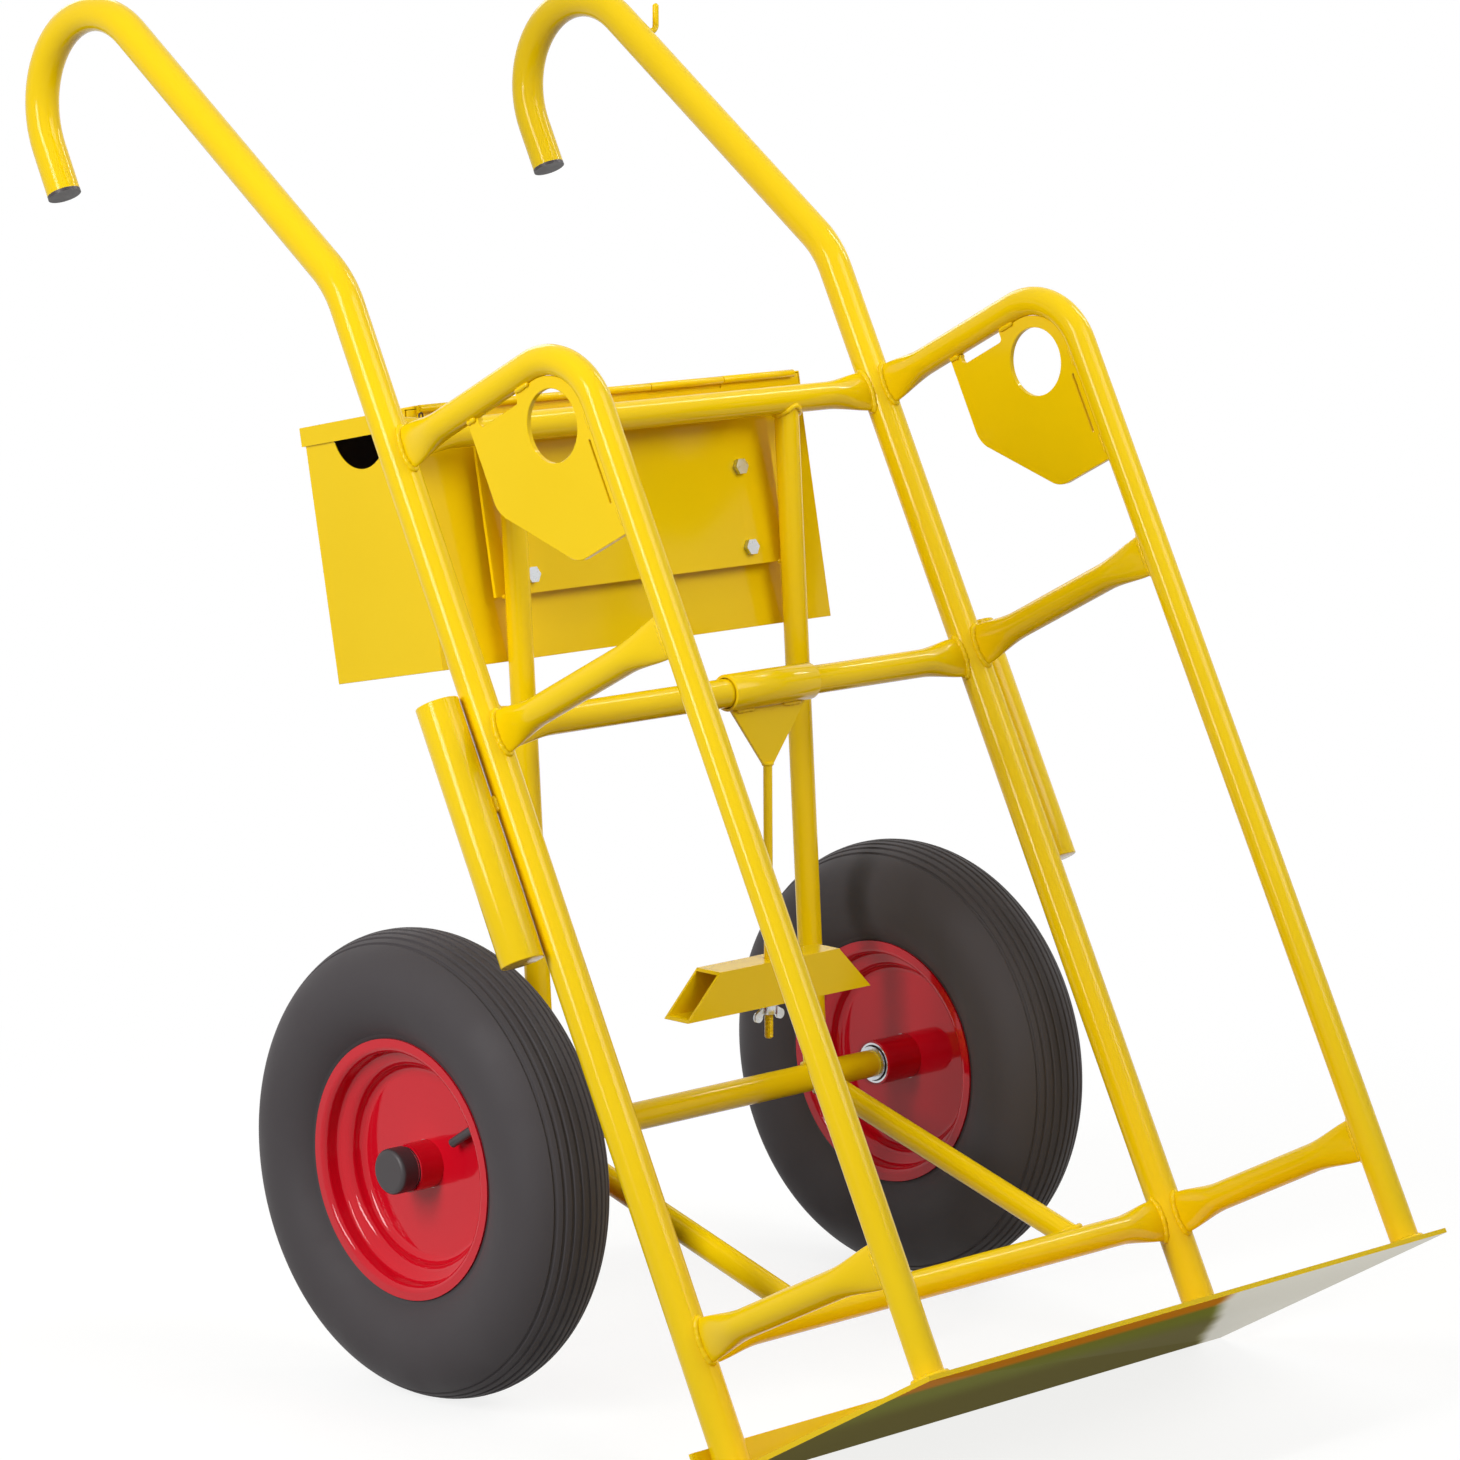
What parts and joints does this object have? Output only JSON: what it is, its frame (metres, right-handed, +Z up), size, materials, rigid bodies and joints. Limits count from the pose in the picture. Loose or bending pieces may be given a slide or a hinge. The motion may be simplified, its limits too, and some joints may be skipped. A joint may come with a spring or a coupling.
{
  "type": "gas cylinder trolley",
  "caption": "Welded tube trolley for a pair of gas bottles, with hooked handles, toe plate, air-filled tyres, lidded tool box, sliding cylinder clamp, rod holders and lifting plates.",
  "frame": {"origin": "on the floor, under the middle of the leant-back trolley's bounding box", "axes": "+Z up, -Y towards the toe plate's front edge, +Y towards the handles, +X to the right seen from the toe plate's side"},
  "size_m": [0.6742, 1.1299, 1.1675],
  "materials": {
    "yellow_paint": "glossy",
    "red_paint": "glossy",
    "tyre": "matte",
    "rubber": "matte",
    "black_plastic": "satin",
    "zinc": "satin",
    "bearing_steel": "satin"
  },
  "bodies": {
    "frame": {"left_upright": "yellow_paint", "right_upright": "yellow_paint", "left_front_hoop": "yellow_paint", "right_front_hoop": "yellow_paint", "top_crossbar": "yellow_paint", "middle_crossbar": "yellow_paint", "bottom_crossbar": "yellow_paint", "left_middle_strut": "yellow_paint", "right_middle_strut": "yellow_paint", "left_lower_strut": "yellow_paint", "right_lower_strut": "yellow_paint", "left_lifting_plate": "yellow_paint", "right_lifting_plate": "yellow_paint", "left_upper_brace": "yellow_paint", "right_upper_brace": "yellow_paint", "left_lower_brace": "yellow_paint", "right_lower_brace": "yellow_paint", "axle": "yellow_paint", "toe_plate": "yellow_paint", "box_mounting_plate": "yellow_paint", "tool_box": "yellow_paint", "box_bolts": "zinc", "box_nuts": "zinc", "box_spacers": "zinc", "hinge_fixed_leaf": "yellow_paint", "hinge_pin": "bearing_steel", "left_rod_holder": "yellow_paint", "right_rod_holder": "yellow_paint", "end_plugs": "black_plastic", "hose_hook": "yellow_paint", "axle_caps": "black_plastic", "axle_washers": "zinc", "axle_rings": "zinc", "bearing_inner_rings": "bearing_steel"},
    "left_wheel": {"left_tyre": "tyre", "left_inner_tube": "rubber", "left_outer_rim_half": "red_paint", "left_inner_rim_half": "red_paint", "left_hub": "red_paint", "left_bearing_rings": "bearing_steel", "left_bearing_balls": "bearing_steel", "left_bearing_seals": "black_plastic", "left_valve": "rubber"},
    "right_wheel": {"right_tyre": "tyre", "right_inner_tube": "rubber", "right_outer_rim_half": "red_paint", "right_inner_rim_half": "red_paint", "right_hub": "red_paint", "right_bearing_rings": "bearing_steel", "right_bearing_balls": "bearing_steel", "right_bearing_seals": "black_plastic", "right_valve": "rubber"},
    "lid": {"tool_box_lid": "yellow_paint", "hinge_moving_leaf": "yellow_paint"},
    "clamp_slider": {"clamp_sleeve": "yellow_paint"},
    "clamp_swing": {"clamp_hanger": "yellow_paint", "clamp_rod": "yellow_paint"},
    "clamp_cross": {"clamp_bar": "yellow_paint", "clamp_washer": "zinc"},
    "clamp_nut": {"wing_nut": "zinc"}
  },
  "joints": [
    {"name": "left_wheel_spin", "type": "hinge", "parent": "frame", "child": "left_wheel", "pos_m": [0, 0.04329, 0.2], "axis": [1, 0, 0], "continuous": true},
    {"name": "right_wheel_spin", "type": "hinge", "parent": "frame", "child": "right_wheel", "pos_m": [0, 0.04329, 0.2], "axis": [1, 0, 0], "continuous": true},
    {"name": "lid_open", "type": "hinge", "parent": "frame", "child": "lid", "pos_m": [0, 0.12154, 0.82628], "axis": [1, 0, 0], "range_deg": [0, 180]},
    {"name": "clamp_slide", "type": "slide", "parent": "frame", "child": "clamp_slider", "axis": [1, 0, 0], "range_m": [-0.145, 0.081]},
    {"name": "clamp_swing", "type": "hinge", "parent": "clamp_slider", "child": "clamp_swing", "pos_m": [0.032, -0.03809, 0.57883], "axis": [1, 0, 0], "range_deg": [-117, 10]},
    {"name": "clamp_tighten", "type": "slide", "parent": "clamp_swing", "child": "clamp_cross", "axis": [0, 0, 1], "range_m": [0, 0.03]},
    {"name": "wing_nut_turn", "type": "hinge", "parent": "clamp_cross", "child": "clamp_nut", "pos_m": [0.032, -0.03809, 0.29583], "axis": [0, 0, 1], "range_deg": [0, 8640.01]}
  ],
  "couplings": [
    {"joint": "wing_nut_turn", "follows": "clamp_tighten", "rad_per_m": 5026.5}
  ]
}
